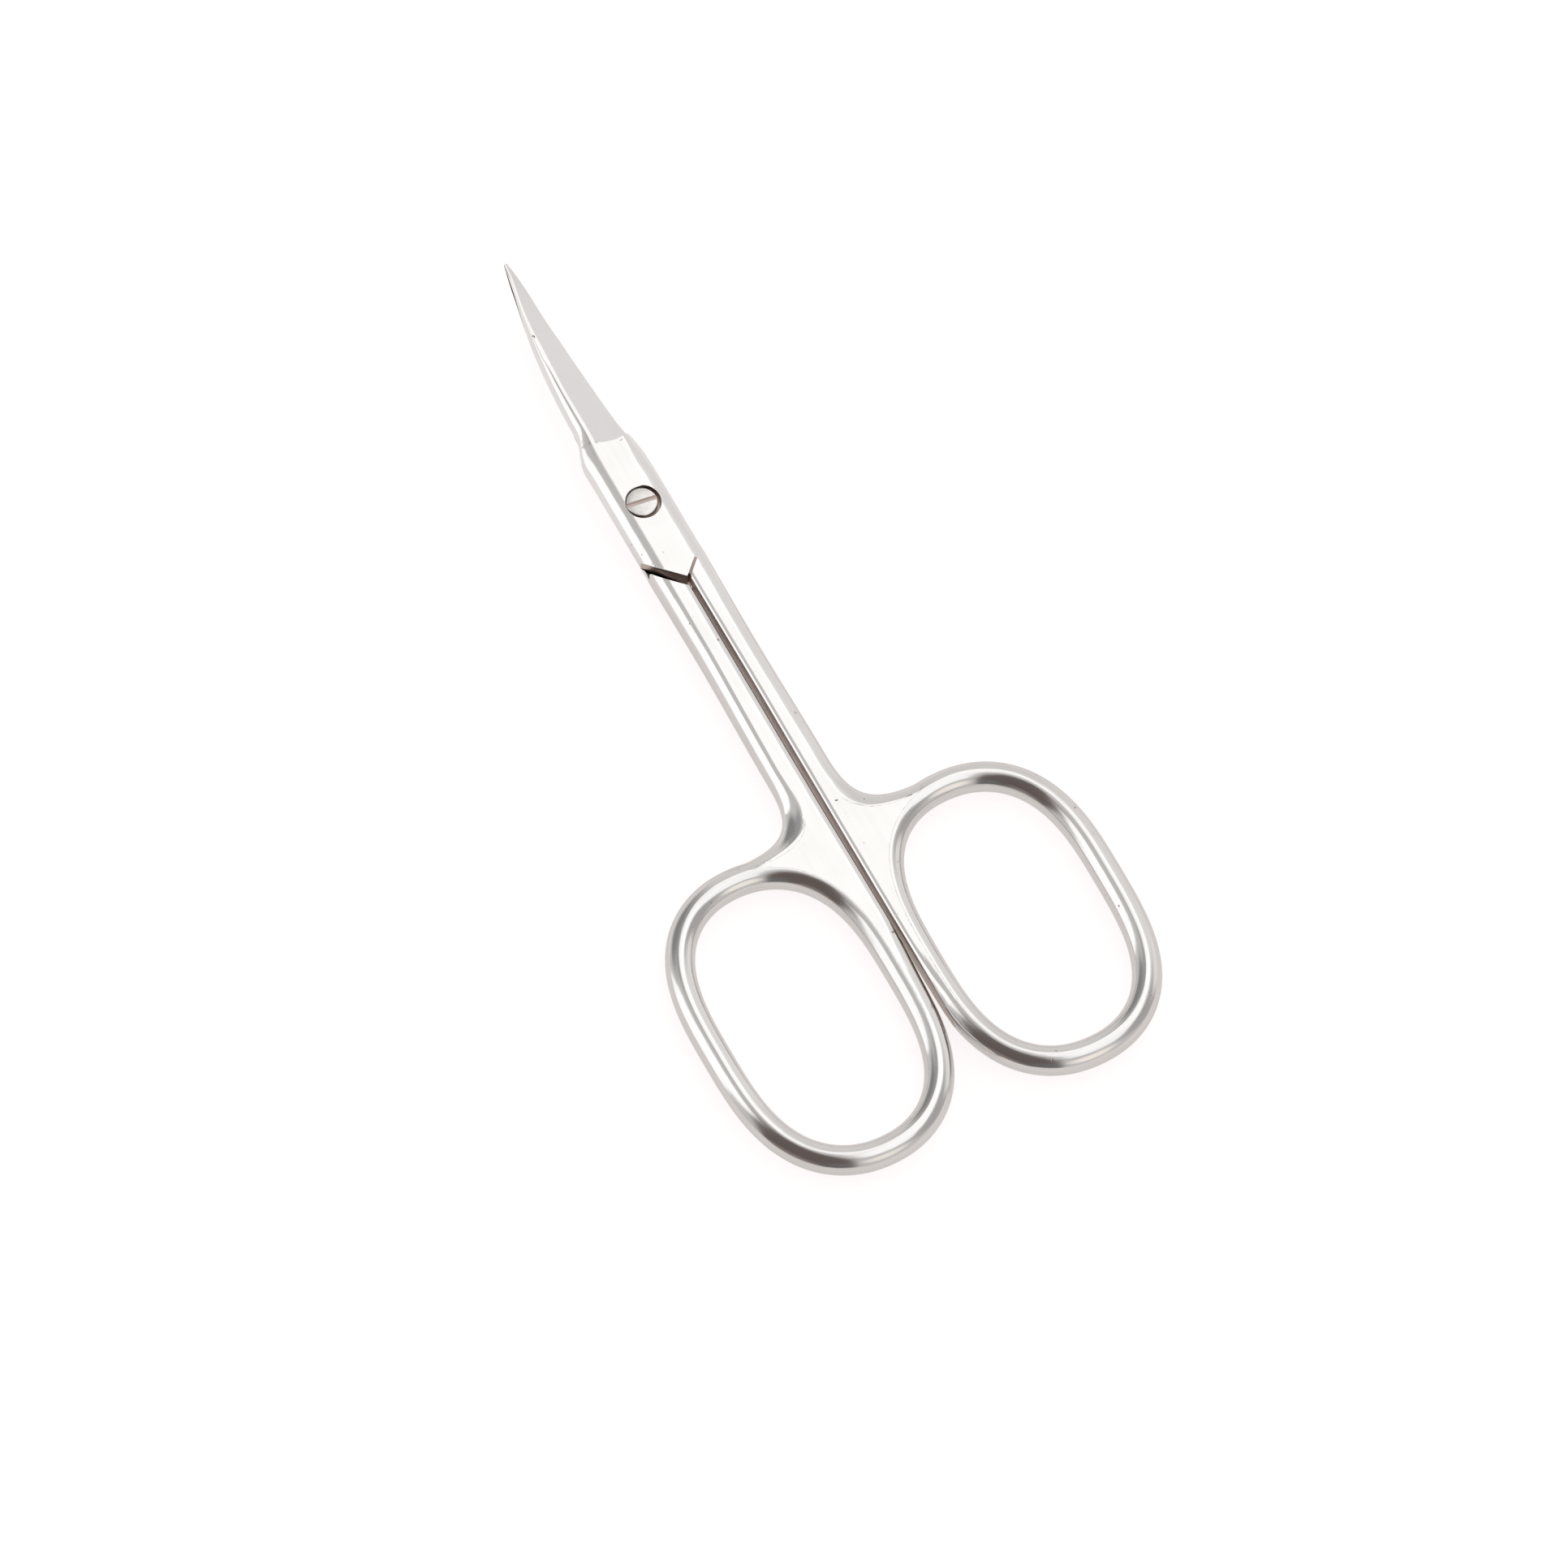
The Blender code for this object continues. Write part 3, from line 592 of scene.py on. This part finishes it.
# A side's rounding, |x/a|^n + |h/b|^n = 1, sampled so that its normal turns by equal steps:
# tan of the sampling angle = (b / a / tan of the normal's angle) ^ (n / (2 n - 2)). A wall stands below it.
def sideArc(height, a, b, n):
    facing = np.linspace(np.pi / 2, 0, steps["arc"] + 1)[None, :]
    steep = b * np.cos(facing) / (np.maximum(a, 1e-4) * np.maximum(np.sin(facing), 1e-9))
    turn = np.arctan(steep ** (n / (2 * n - 2)))
    rise = np.linspace(0, 1, steps["wall"], endpoint=False)[None, :] * (height - b)
    offset = np.concatenate([0 * rise, a * (1 - np.cos(turn) ** (2 / n))], axis=1)
    return offset, np.concatenate([rise, height - b + b * np.sin(turn) ** (2 / n)], axis=1)


# One half, built as the upper one. Each row is a closed section across the half: from its left
# side up a wall and an elliptic rounding, over the top to the right side, and back underneath.
def halfBody(half):
    ring, web = half["ring"], steps["web"]
    padStart = web + steps["corner"] + steps["shank"] + steps["lap"]
    bladeStart = padStart + steps["padEnd"] + steps["pad"]
    made, webEnd = webRows(half)
    parts = [made, cornerRows(half, webEnd), shankRows(half), frontRows()]
    row = {key: np.concatenate([part[key] for part in parts])[:, None] for key in made}

    # over the top: left rounding, strip, flat, right rounding
    leftOffset, leftTop = sideArc(row["height"], row["leftRound"], row["leftDrop"], row["leftPower"])
    rightOffset, rightTop = sideArc(row["height"], row["rightRound"], row["rightDrop"], 2.0)
    leftX, leftY = row["leftX"] + leftOffset, row["leftY"] + 0 * leftOffset
    rightX = row["rightX"] + row["towardX"] * rightOffset
    rightY = row["rightY"] + row["towardY"] * rightOffset
    startX, startY, stopX, stopY = leftX[:, -1:], leftY[:, -1:], rightX[:, -1:], rightY[:, -1:]
    ridgeShare = np.clip((row["ridge"] - startX) / (stopX - startX), 0.1, 0.9)
    a = np.linspace(0, 1, steps["strip"] + 1)[1:][None, :] * ridgeShare
    b = ridgeShare + (1 - ridgeShare) * np.linspace(0, 1, steps["flat"] + 1)[1:-1][None, :]
    across = np.concatenate([a, b], axis=1)
    x = np.concatenate([leftX, mix(startX, stopX, across), rightX[:, ::-1]], axis=1)
    y = np.concatenate([leftY, mix(startY, stopY, across), rightY[:, ::-1]], axis=1)
    top = np.concatenate([leftTop, row["height"] + 0 * across, rightTop[:, ::-1]], axis=1)

    # the ground face, with its hollow at the foot, and the flat inner faces below
    toEdge = row["rightX"] - x
    groundHeight = blade["edgeLand"] + row["slope"] * toEdge
    groundHeight = mix(groundHeight, np.maximum(joint["layer"], groundHeight), row["hollow"])
    top = np.where(row["grind"] > 0, np.minimum(top, groundHeight), top)
    innerFace = joint["lapGap"] + row["grind"] * blade["relief"] * toEdge
    under = np.where(row["full"] > 0, -top, innerFace)
    top = np.maximum(top, np.where(row["full"] > 0, 0.0, under + blade["leastThickness"]))

    # the web's flat top turns into the ring's round one, whose height is b * sqrt(1 - (distance / a)^2)
    beside = ringLine(ring, np.linspace(0.45 * np.pi, 1.15 * np.pi, 500))
    apart = np.min(np.hypot(x[:web, :, None] - beside[:, 0], y[:web, :, None] - beside[:, 1]), axis=-1)
    wireTop = handle["wireHalfHeight"] * np.sqrt(np.clip(1 - (apart / handle["wireHalfWidth"]) ** 2, 0, 1))
    melt = ease(y[:web], *half["meltY"])
    top[:web] = mix(top[:web], np.minimum(top[:web], wireTop + handle["wireMargin"]), melt)
    under[:web] = -top[:web]

    # the pad's slanted end: its first rows are drawn together to the inner wall and to the middle
    x[padStart] = np.maximum(x[padStart], innerWall(half, y[padStart]))
    x[padStart + 1] = np.maximum(x[padStart + 1], 0.0)

    # rows seen from above: slanted at 45 degrees at the joint, bowed at the ground face's foot, and
    # rounded back at the slanted end's outer corner
    bend = row["vee"] * softLimit(np.abs(x), 0.0, joint["slantEase"]) + row["bow"] * footBow(x)
    outside = np.clip((-x - joint["padHalfWidth"]) / joint["endRoundWidth"] + 1.0, 0, 1)
    bend = bend + row["vee"] * (1 - row["full"]) * joint["endRound"] * outside**2

    # the web's wall ends inside the ring's wire, whose side is at
    # x = ring x - wire - a * (1 - |y / b|^n) ^ (1 / m)
    wall = innerWall(half, y) + handle["wallBack"] * ease(y, *handle["wallBackY"])
    share = np.clip(1 - np.abs((y - ring["y"]) / ring["halfLength"]) ** ring["sidePower"], 0, 1)
    wireSide = ring["x"] - handle["wireHalfWidth"] - ring["halfWidth"] * share ** (1 / ring["endPower"])
    inWire = np.maximum(wireSide + handle["rimMargin"] - wall, 0) * ease(y, *handle["wallInWireY"])
    x[:web] = np.maximum(x, wall + inWire)[:web]

    # the shoulder behind the notch leans back towards the top of the other half
    topY = y + bend
    lean = (joint["notchGapHigh"] - joint["notchGapLow"]) * math.sqrt(2)
    atShoulder = row["full"] * ease(row["vee"], 0.6, 1.0)
    leanShare = np.clip((-under - joint["notchSlopeH"]) / joint["notchSlopeHeight"], 0, 1)
    underY = topY - atShoulder * lean * leanShare

    # the whole section, and where each face lies in it
    lift = half["side"] * tipRise(y)
    xs = np.concatenate([x, x[:, ::-1]], axis=1)
    ys = np.concatenate([topY, underY[:, ::-1]], axis=1)
    hs = np.concatenate([top + lift, under[:, ::-1] + lift], axis=1)
    count = x.shape[1]
    faces = gridFaces(len(xs), 2 * count, False, True)
    rowOf = np.repeat(np.arange(len(xs) - 1), 2 * count)
    columnOf = np.tile(np.arange(2 * count), len(xs) - 1)
    strip = steps["wall"] + steps["arc"] + steps["strip"]
    onGround = (rowOf >= bladeStart - 1) & (columnOf >= strip) & (columnOf < count - steps["wall"] - 2)
    inWall = (rowOf < padStart) & ((columnOf < steps["wall"]) | (columnOf >= 2 * count - steps["wall"]))
    shoulder = rowOf == padStart - steps["lap"] - 1
    notch = (rowOf >= padStart - 1) & (rowOf <= padStart + 1) & (xs[:-1].ravel() < joint["notchEnd"])
    # walls in the gap, the shoulder and the notch take the darker inner-face material: painted shade
    marks = np.where(onGround, matte, np.where(inWall | shoulder | notch, dull, polished))
    tipShift = blade["tipLean"] * ease(ys, *blade["leanY"])
    points = toFrame(half["side"] * xs + tipShift, ys, half["side"] * hs)
    return points, faces, marks.tolist() + [dull, polished]  # the last two for the ends' faces


def makeHalf(name, half):
    points, faces, marks = halfBody(half)
    body = meshObject(name, points, faces, [nickel, ground, innerShadeSteel], marks, 15)
    points, faces, marks, grain = ringTube(half)
    tube = meshObject(name + "_ring", points, faces, [wireNickel, ground, innerShadeSteel], marks, 35, grain)
    return body, tube


# Side is -1 for the half that is turned over, and outer is x of the shank's outer side. Each rounding
# has a width, Round, and a height, Drop.
upperSet = {
    "side": 1,
    "outer": 2.77, "outerRound": 1.45, "outerDrop": 1.05, "cornerSoft": 0.35,
    "innerRound": 0.42, "innerDrop": 0.19, "wallEase": 0.12,
    "meltY": (-47.0, -54.0),  # where the web's top turns into the ring's
    "wallY": (-64.0, -50.0, -45.0, -33.0, -28.0, -20.0, -9.0, 0.0),
    "wallX": (0.50, 0.46, 0.43, 0.40, 0.39, 0.37, 0.28, 0.26),
    "ring": {"x": 9.96, "y": -48.93, "halfWidth": 8.61, "halfLength": 14.06, "endPower": 2.13, "sidePower": 3.05},
}
lowerSet = {
    "side": -1,
    "outer": 2.77, "outerRound": 1.12, "outerDrop": 1.1, "cornerSoft": 0.80,
    "innerRound": 0.80, "innerDrop": 0.38, "wallEase": 0.25,
    "meltY": (-43.5, -53.5),
    "wallY": (-64.0, -50.0, -45.0, -39.0, -33.0, -20.0, -9.0, 0.0),
    "wallX": (-0.15, -0.13, -0.10, -0.05, 0.0, 0.05, 0.07, 0.10),
    "ring": {"x": 9.91, "y": -49.04, "halfWidth": 8.66, "halfLength": 14.16, "endPower": 2.10, "sidePower": 3.03},
}
upper, upperRing = makeHalf("upper_half_forged", upperSet)
lower, lowerRing = makeHalf("lower_half_forged", lowerSet)


# A turned shape: a profile of (radius, height) points carried round a vertical line.
def lathe(name, profile, centre, materials):
    turn = np.linspace(0, 2 * np.pi, steps["turned"], endpoint=False)[:, None]
    radius, height = np.array(profile).T
    x, y = centre[0] + radius * np.cos(turn), centre[1] + radius * np.sin(turn)
    points = toFrame(x, y, height + 0 * x)
    return meshObject(name, points, openFaces(steps["turned"], len(profile), True), materials)


# Takes the cutter's shape out of the piece for good, and removes the cutter.
def cutOut(piece, cutter):
    cut = piece.modifiers.new("cut", "BOOLEAN")
    cut.operation, cut.solver, cut.object = "DIFFERENCE", "EXACT", cutter
    bpy.context.view_layer.update()
    graph = bpy.context.evaluated_depsgraph_get()
    old, piece.data = piece.data, bpy.data.meshes.new_from_object(piece.evaluated_get(graph))
    piece.modifiers.clear()
    bpy.data.meshes.remove(old)
    bpy.data.objects.remove(cutter, do_unlink=True)
    piece.data.polygons.foreach_set("use_smooth", np.ones(len(piece.data.polygons), bool))
    piece.data.set_sharp_from_angle(angle=math.radians(15))
    spots = np.zeros(len(piece.data.vertices) * 3)
    piece.data.vertices.foreach_get("co", spots)
    layGrain(piece.data, fromFrame(spots.reshape(-1, 3)))


# the screw's recess, its wall and floor in the darker inner-face material: painted shade
boreR, edgeR, layer = joint["boreRadius"], joint["boreEdge"], joint["layer"]
above, margin = 0.4, 0.01
boreProfile = [
    (0.0, joint["boreFloor"]), (boreR, joint["boreFloor"]), (boreR, layer - edgeR),
    (boreR + edgeR + above, layer + above), (0.0, layer + above),
]
cutOut(upper, lathe("bore_cutter", boreProfile, (0, 0), [nickel, ground, innerShadeSteel]))
centres = np.array([polygon.center for polygon in upper.data.polygons])
fromPivot = np.hypot(centres[:, 0], centres[:, 1] - pivotY) / mm
height = (centres[:, 2] - splitHeight) / mm
bored = (fromPivot < boreR + margin) & (height > 0.5) & (height < layer - margin)
index = np.zeros(len(centres), np.int32)
upper.data.polygons.foreach_get("material_index", index)
upper.data.polygons.foreach_set("material_index", np.where(bored, dull, index).astype(np.int32))
print("halves made")

screw = {
    "headRadius": 1.36, "top": 1.74, "under": 0.75, "shaft": 0.8, "end": -1.7, "endBevel": 0.12,
    "offset": (-0.10, 0.11),
    "dome": ((0.0, 0.0), (0.3, 0.004), (0.55, 0.014), (0.78, 0.032)),  # share of the radius, depth under the top
    "rim": ((0.09, 0.055), (0.03, 0.09), (0.0, 0.18)),  # distance from the side, depth under the top
    "slotWidth": 0.42, "slotDepth": 0.22, "slotTurn": -7.6,
}
headR, headTop, shaft, shaftEnd = screw["headRadius"], screw["top"], screw["shaft"], screw["end"]
screwProfile = [(headR * share, headTop - depth) for share, depth in screw["dome"]]
screwProfile += [(headR - inset, headTop - depth) for inset, depth in screw["rim"]]
screwProfile += [
    (headR, screw["under"]), (shaft, screw["under"]), (shaft, shaftEnd + screw["endBevel"]),
    (shaft - screw["endBevel"], shaftEnd), (0.0, shaftEnd),
]
pin = lathe("pivot_screw_turned", screwProfile, screw["offset"], [screwSteel, slotSteel])
turn = math.radians(screw["slotTurn"])
corner = np.array([(-3, -1), (3, -1), (3, 1), (-3, 1)], float) * [1, screw["slotWidth"] / 2]
corner = corner @ np.array([[math.cos(turn), math.sin(turn)], [-math.sin(turn), math.cos(turn)]])
slotX, slotY = (np.concatenate([corner, corner]) + screw["offset"]).T
slotPoints = toFrame(slotX, slotY, np.repeat([headTop - screw["slotDepth"], headTop + 1], 4))
slotFaces = [(3, 2, 1, 0), (4, 5, 6, 7), (0, 1, 5, 4), (1, 2, 6, 5), (2, 3, 7, 6), (3, 0, 4, 7)]
cutOut(pin, meshObject("slot_cutter", slotPoints, slotFaces, [screwSteel, slotSteel], [1] * 6))
print("screw made")

for piece, body, node, slot in (
    (upper, "upper", "upper_half", "polished_nickel"), (upperRing, "upper", "upper_half", "polished_nickel"),
    (lower, "lower", "lower_half", "polished_nickel"), (lowerRing, "lower", "lower_half", "polished_nickel"),
    (pin, "lower", "pivot_screw", "screw_steel"),
):
    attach(piece, body)
    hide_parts(node)

# camera: a long lens, tilted from straight above and turned, both in degrees. It looks at a place right
# of and below the joint's top, and its distance is in metres
camera = {"tilt": 27.39, "turn": 27.71, "right": 11.78, "down": 23.9, "jointX": 0.103,
          "pixels": 1932, "pixelsPerMm": 14.588, "distance": 5.0, "sensor": 36.0}
turn, tilt = math.radians(camera["turn"]), math.radians(camera["tilt"])
rightWay = np.array([math.cos(turn), -math.sin(turn), 0.0])
awayWay = np.array([math.sin(turn), math.cos(turn), 0.0])
upWay = awayWay * math.cos(tilt) + np.array([0, 0, math.sin(tilt)])
backWay = -awayWay * math.sin(tilt) + np.array([0, 0, math.cos(tilt)])
aim = np.array([camera["jointX"] * mm, pivotY, splitHeight + layer * mm])
aim = aim + rightWay * camera["right"] * mm - upWay * camera["down"] * mm
lens = bpy.data.cameras.new("long_lens")
lens.sensor_width = camera["sensor"]
lens.lens = camera["sensor"] * camera["distance"] / (camera["pixels"] / camera["pixelsPerMm"] * mm)
lens.clip_start, lens.clip_end = 0.01, 100.0
viewer = bpy.data.objects.new("camera", lens)
bpy.context.scene.collection.objects.link(viewer)
viewer.location = aim + backWay * camera["distance"]
viewer.rotation_euler = (tilt, 0.0, -turn)
bpy.context.scene.camera = viewer
print("camera set")


def square(halfSize, height):
    return [(-halfSize, -halfSize, height), (halfSize, -halfSize, height),
            (halfSize, halfSize, height), (-halfSize, halfSize, height)]


# A surface that scatters light and glows a little by itself.
def glowing(shade, colour, glow):
    both = {0: shade.node("BsdfDiffuse", None, {"Color": colour}), 1: shade.node("Emission", None, glow)}
    shade.node("OutputMaterial", None, {"Surface": shade.node("AddShader", None, both)})


# floor: a white sheet that glows for the camera, in reflections and through the clear curtain
floorMesh = bpy.data.meshes.new("floor")
floorMesh.from_pydata(square(3.0, 0), [], [(0, 1, 2, 3)])
floor = bpy.data.objects.new("floor", floorMesh)
bpy.context.scene.collection.objects.link(floor)
floorPaint, shade = emptyMaterial("white sheet")
rays = shade.node("LightPath").socket.node.outputs
kinds = ("Is Camera Ray", "Is Glossy Ray", "Is Transmission Ray")
cameraRay, glossyRay, throughRay = [Shade(shade.tree, rays[kind]) for kind in kinds]
seen = shade.calc("MINIMUM", cameraRay + glossyRay + throughRay, 1.0)
glowing(shade, (0.46, 0.40, 0.40, 1), {"Color": (0.76, 0.76, 0.76, 1), "Strength": seen})
floorMesh.materials.append(floorPaint)


# A direction as in the picture: azimuth 0 is right, 90 away, and zenith is the angle from straight up.
def direction(azimuth, zenith):
    a, z = math.radians(azimuth), math.radians(zenith)
    return (rightWay * math.cos(a) + awayWay * math.sin(a)) * math.sin(z) + np.array([0, 0, math.cos(z)])


# A flat lamp at centre, its width along across and its height along up. It shines the way opposite to
# their cross product.
def softLamp(name, centre, across, up, width, height, radiance):
    data = bpy.data.lights.new(name, "AREA")
    data.shape, data.size, data.size_y = "RECTANGLE", width, height
    data.energy = radiance * math.pi * width * height
    lamp = bpy.data.objects.new(name, data)
    bpy.context.scene.collection.objects.link(lamp)
    matrix = Matrix(np.stack([across, up, np.cross(across, up)], axis=1).tolist())
    lamp.location, lamp.rotation_euler = centre, matrix.to_euler()
    lamp.visible_camera = False


# light: a wide soft box overhead and a tall soft panel at the left, in metres and degrees
upward = np.array([0.0, 0.0, 1.0])
box = {"right": 0.46, "away": 0.23, "up": 1.5, "turn": 19, "width": 0.90, "length": 1.90, "radiance": 0.56}
boxAcross = direction(box["turn"], 90)
boxAlong = np.cross(upward, boxAcross)
boxCentre = rightWay * box["right"] + awayWay * box["away"] + upward * box["up"]
softLamp("overhead_box", boxCentre, boxAcross, boxAlong, box["width"], box["length"], box["radiance"])
panel = {"azimuth": 176, "distance": 1.2, "centre": 0.95, "width": 0.54, "height": 1.85, "radiance": 0.65}
leftWay = direction(panel["azimuth"], 90)
panelCentre = leftWay * panel["distance"] + upward * panel["centre"]
panelAcross = np.cross(upward, leftWay)
softLamp("left_panel", panelCentre, panelAcross, upward, panel["width"], panel["height"], panel["radiance"])


# How far the direction in spot leans towards way.
def leaning(spot, way):
    return spot.node("VectorMath", {"operation": "DOT_PRODUCT"}, {0: spot, 1: tuple(way)}, 1)


# 1 inside the cone round a direction, easing to 0 from the inner to the outer angle.
def cone(spot, azimuth, zenith, inner, outer):
    low, high = math.cos(math.radians(outer)), math.cos(math.radians(inner))
    return leaning(spot, direction(azimuth, zenith)).between(low, high)


# 1 on the left of the great circle that runs from one direction (azimuth, zenith) to the next, eased
# over soft degrees to both sides.
def leftOf(spot, start, end, soft):
    normal = np.cross(direction(*start), direction(*end))
    edge = math.sin(math.radians(soft))
    return leaning(spot, normal / np.linalg.norm(normal)).between(-edge, edge)


# Patches of colour over a base, each a share and a colour, the later ones on top.
def painted(shade, colour, patches):
    for share, patchColour in patches:
        colour = blendColours(shade, share, colour, patchColour)
    return colour


# the pale room: brighter behind the scissors, with the dark and light things that the polish shows
world = bpy.data.worlds.new("pale room")
bpy.context.scene.world = world
world.use_nodes = True
way = Shade(world.node_tree).node("TexCoord")
band = leaning(way, direction(53 + 90, 90))
band = (1 - band.calc("ABSOLUTE", band).between(0.07, 0.17)) * cone(way, 53, 72, 36, 50)
roomTone = painted(way, (0.60, 0.582, 0.57), [
    (cone(way, 74, 85, 20, 75), (0.74, 0.712, 0.69)),
    (cone(way, 4, 60, 14, 36), (0.43, 0.41, 0.405)),
    (band, (0.83, 0.80, 0.785)),
    (cone(way, 64, 44, 3, 13), (0.88, 0.855, 0.84)),
    (cone(way, 33, 74, 8, 25), (0.84, 0.815, 0.80)),
    (cone(way, 121, 39, 6, 15), (0.35, 0.342, 0.335)),
    (cone(way, 134, 60, 9, 23), (0.26, 0.253, 0.247)),
    (cone(way, -54, 62, 6, 22), (1.02, 0.95, 0.88)),
])
way.tree.links.new(roomTone.socket, world.node_tree.nodes["Background"].inputs["Color"])
print("light set")

# a dark curtain on the camera's side. It hangs on part of a sphere and is seen only in the polish
curtain = {"radius": 0.9, "azimuth": (140, 296), "zenith": (4, 89.9), "around": 40, "down": 30}
u = np.radians(np.linspace(*curtain["azimuth"], curtain["around"]))[:, None]
v = np.radians(np.linspace(*curtain["zenith"], curtain["down"]))[None, :]
spread = rightWay * (np.sin(v) * np.cos(u))[..., None] + awayWay * (np.sin(v) * np.sin(u))[..., None]
spread = spread + upward * (np.cos(v) + 0 * u)[..., None]
cloth, dark = emptyMaterial("dark curtain")
spot = dark.node("VectorMath", {"operation": "NORMALIZE"}, {0: dark.node("TexCoord", output=3)})
hung = leftOf(spot, (171, 23), (203, 72), 4) * leftOf(spot, (285, 31), (131, 18), 5)
hung = hung * leftOf(spot, (282, 90), (282, 30), 4)
paint = painted(dark, (0.13, 0.105, 0.097), [
    (cone(spot, 272, 72, 6, 22), (0.15, 0.147, 0.145)),
    (cone(spot, 232, 92, 8, 26), (0.25, 0.205, 0.185)),
])
fabric = dark.node("Emission", None, {"Color": paint})
veil = dark.node("MixShader", None, {0: hung, 1: dark.node("BsdfTransparent"), 2: fabric})
dark.node("OutputMaterial", None, {"Surface": veil})
curtainFaces = openFaces(curtain["around"], curtain["down"], False)
drape = meshObject("dark_curtain", spread * curtain["radius"], curtainFaces, [cloth])
drape.visible_camera = drape.visible_diffuse = drape.visible_shadow = drape.visible_transmission = False

# a pale mat on the floor, seen only in the polish, that glows a little by itself as painted light: lighter in
# front of the joint, a painted pool of light, and darker beyond the rings, a painted shadow
matPaint, felt = emptyMaterial("pale mat")
place = felt.node("TexCoord", output=3)
# the mat glows lighter in front of the joint, a painted pool of light, and is darker beyond the rings, a painted
# shadow
front = leaning(place, (0, 1, 0)).between(0.008, 0.024)
paintedShadowBeyond = leaning(place, direction(235, 90) / 0.1).between(0.62, 1.0)
felted = (0.44, 0.42, 0.41)
matGlow = painted(felt, felted, [(front, (0.58, 0.565, 0.555)), (paintedShadowBeyond, (0.23, 0.20, 0.185))])
glowing(felt, painted(felt, felted, [(paintedShadowBeyond, (0.22, 0.19, 0.18))]), {"Color": matGlow})
mat = meshObject("pale_mat", np.array(square(0.5, 1e-5)), [(0, 1, 2, 3)], [matPaint])
mat.visible_camera = mat.visible_diffuse = mat.visible_shadow = mat.visible_transmission = False

bpy.context.scene.view_settings.view_transform = "Standard"
print("stage set")
